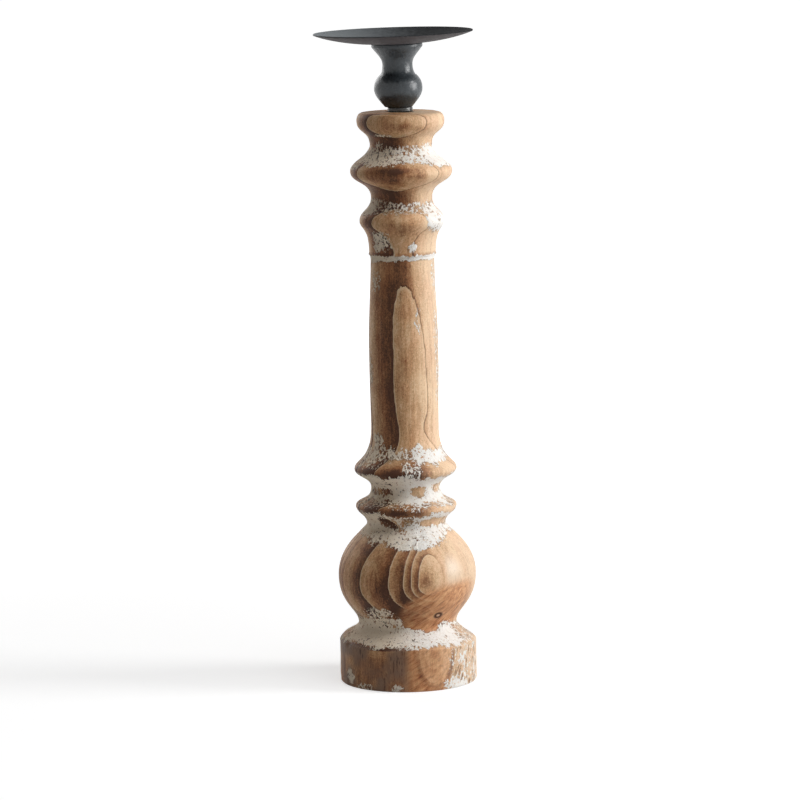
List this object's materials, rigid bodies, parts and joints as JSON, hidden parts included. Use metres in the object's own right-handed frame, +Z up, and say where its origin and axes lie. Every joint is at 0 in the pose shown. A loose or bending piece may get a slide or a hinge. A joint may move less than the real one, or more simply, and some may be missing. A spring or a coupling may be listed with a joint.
{
  "type": "candle stand",
  "caption": "Tall turned wooden candle stand with worn whitewash and a dark iron neck that carries a shallow round dish for a pillar candle.",
  "frame": {"origin": "middle of the foot, on the surface that the stand rests on", "axes": "+Z up along the turned column; -Y is the front; the iron stack leans and the dish hangs over a little towards -X"},
  "size_m": [0.1046, 0.1046, 0.4317],
  "materials": {
    "timber": "brown stained hardwood with rubbed-back whitewash",
    "steel": "turned steel, lightly blackened",
    "iron": "satin dark grey",
    "sheet_iron": "satin dark grey, slightly blued",
    "screw_steel": "blackened steel"
  },
  "bodies": {
    "root": {"column": "timber", "foot_collar": "steel", "neck_knob": "iron", "neck_bell": "iron", "dish": "sheet_iron", "fixing_screw": "screw_steel"}
  },
  "joints": []
}
